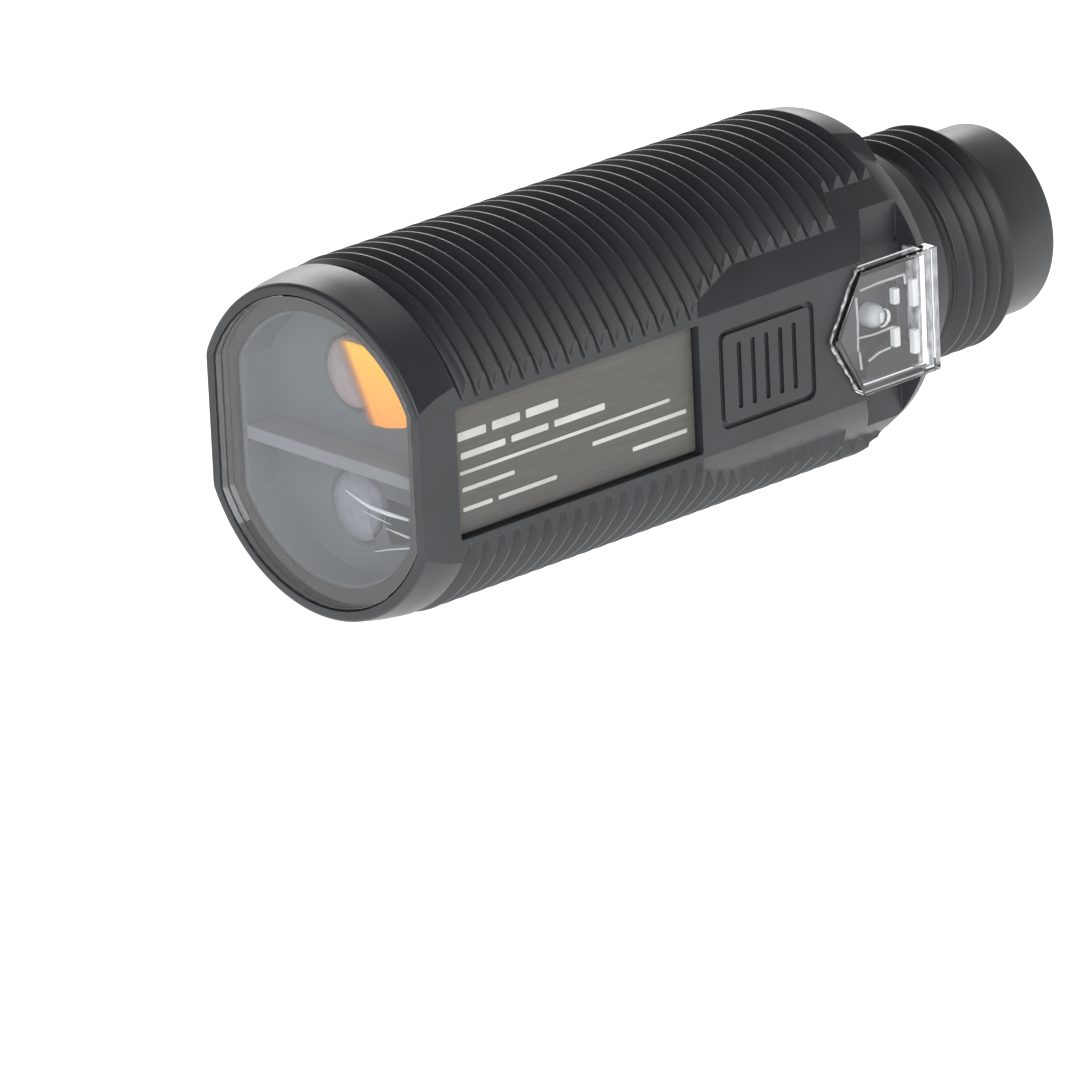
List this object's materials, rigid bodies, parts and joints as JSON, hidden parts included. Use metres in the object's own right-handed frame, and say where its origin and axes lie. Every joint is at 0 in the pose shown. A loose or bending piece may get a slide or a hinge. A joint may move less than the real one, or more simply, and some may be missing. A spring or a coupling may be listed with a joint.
{
  "type": "photoelectric sensor",
  "caption": "Short cylindrical photoelectric sensor with a flattened threaded barrel, a window over emitter and receiver lenses, a status light and a round threaded plug.",
  "frame": {"origin": "on the barrel axis, at the middle of the barrel thread", "axes": "+Y along the barrel from the sensing face to the plug, +X out of the flat that holds the label and the indicator, +Z towards the emitter side of the window"},
  "size_m": [0.0156, 0.0452, 0.0178],
  "materials": {
    "black_housing_plastic": "satin, glass-filled",
    "clear_window_plastic": "polished",
    "clear_indicator_plastic": "polished",
    "mask_plastic": "matt",
    "seal_rubber": "matt",
    "optics_grey_plastic": "matt",
    "divider_grey_plastic": "matt",
    "lens_plastic": "polished",
    "amber_filter_plastic": "polished",
    "diode_resin": "gloss",
    "board_laminate": "satin",
    "chip_epoxy": "matt",
    "capacitor_ceramic": "matt",
    "indicator_resin": "gloss",
    "indicator_carrier_plastic": "satin",
    "label_film": "satin",
    "plug_plastic": "satin",
    "contact_metal": "gold plated"
  },
  "bodies": {
    "root": {"barrel_housing": "black_housing_plastic", "front_window": "clear_window_plastic", "window_mask": "mask_plastic", "window_gasket": "seal_rubber", "optics_carrier": "optics_grey_plastic", "light_baffle": "divider_grey_plastic", "emitter_lens": "lens_plastic", "receiver_lens": "lens_plastic", "emitter_filter": "amber_filter_plastic", "receiver_prism": "lens_plastic", "emitter_diode": "diode_resin", "receiver_chip": "chip_epoxy", "optics_board": "board_laminate", "main_board": "board_laminate", "controller_chip": "chip_epoxy", "output_driver": "chip_epoxy", "supply_regulator": "chip_epoxy", "storage_capacitor": "capacitor_ceramic", "indicator_window": "clear_indicator_plastic", "led_carrier": "indicator_carrier_plastic", "indicator_led": "indicator_resin", "label_plate": "label_film", "connector_body": "plug_plastic", "rear_seal": "seal_rubber", "contact_carrier": "plug_plastic", "contact_pin_1": "contact_metal", "contact_pin_2": "contact_metal", "contact_pin_3": "contact_metal", "contact_pin_4": "contact_metal"}
  },
  "joints": []
}
